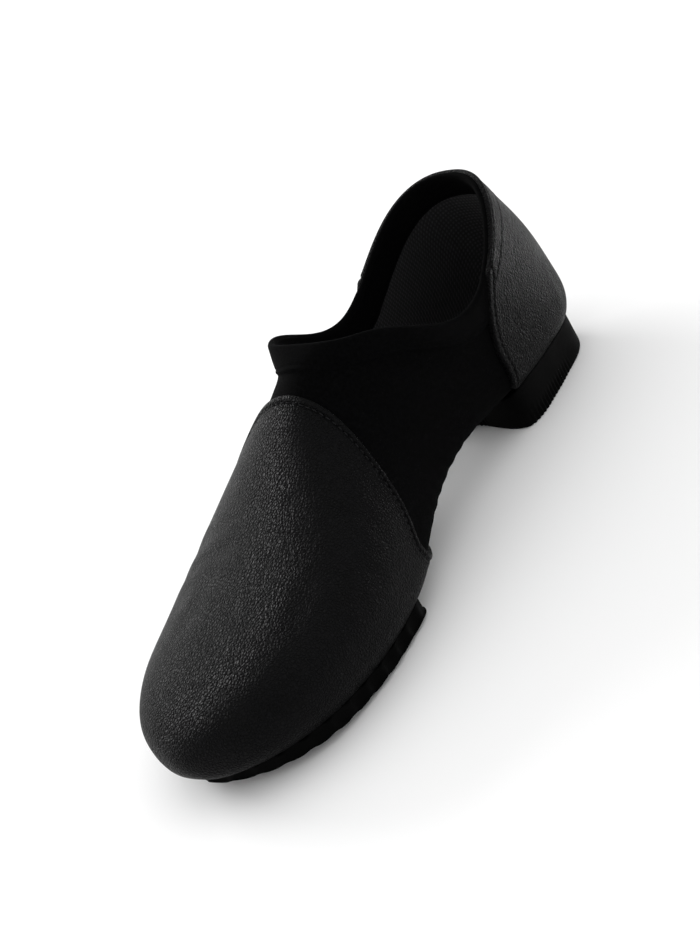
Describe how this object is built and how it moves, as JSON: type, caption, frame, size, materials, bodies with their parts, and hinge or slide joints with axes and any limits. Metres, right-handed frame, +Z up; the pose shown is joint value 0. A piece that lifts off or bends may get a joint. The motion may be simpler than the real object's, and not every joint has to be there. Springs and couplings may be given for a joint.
{
  "type": "jazz shoe",
  "caption": "Slip-on jazz shoe with a split sole: stretch upper with a dipping collar, leather vamp and heel counter, rubber forepart pad and low rubber heel.",
  "frame": {"origin": "on the floor, under the middle of the shoe's box", "axes": "+Z up; the toe points to -X and the heel to +X; the big-toe side faces -Y, so this is a right shoe"},
  "size_m": [0.2444, 0.0888, 0.0799],
  "materials": {
    "upper": "matt black stretch fabric over foam, with a textile lining",
    "vamp": "smooth black leather with a fine pebble grain and a satin sheen",
    "heel_counter": "smooth black leather with a fine pebble grain and a satin sheen",
    "outsole_forepart": "matt black rubber",
    "heel_block": "matt black rubber",
    "insole": "dark grey brushed textile over thin foam"
  },
  "bodies": {
    "root": {"upper": "upper", "vamp": "vamp", "heel_counter": "heel_counter", "outsole_forepart": "outsole_forepart", "heel_block": "heel_block", "insole": "insole"}
  },
  "joints": []
}
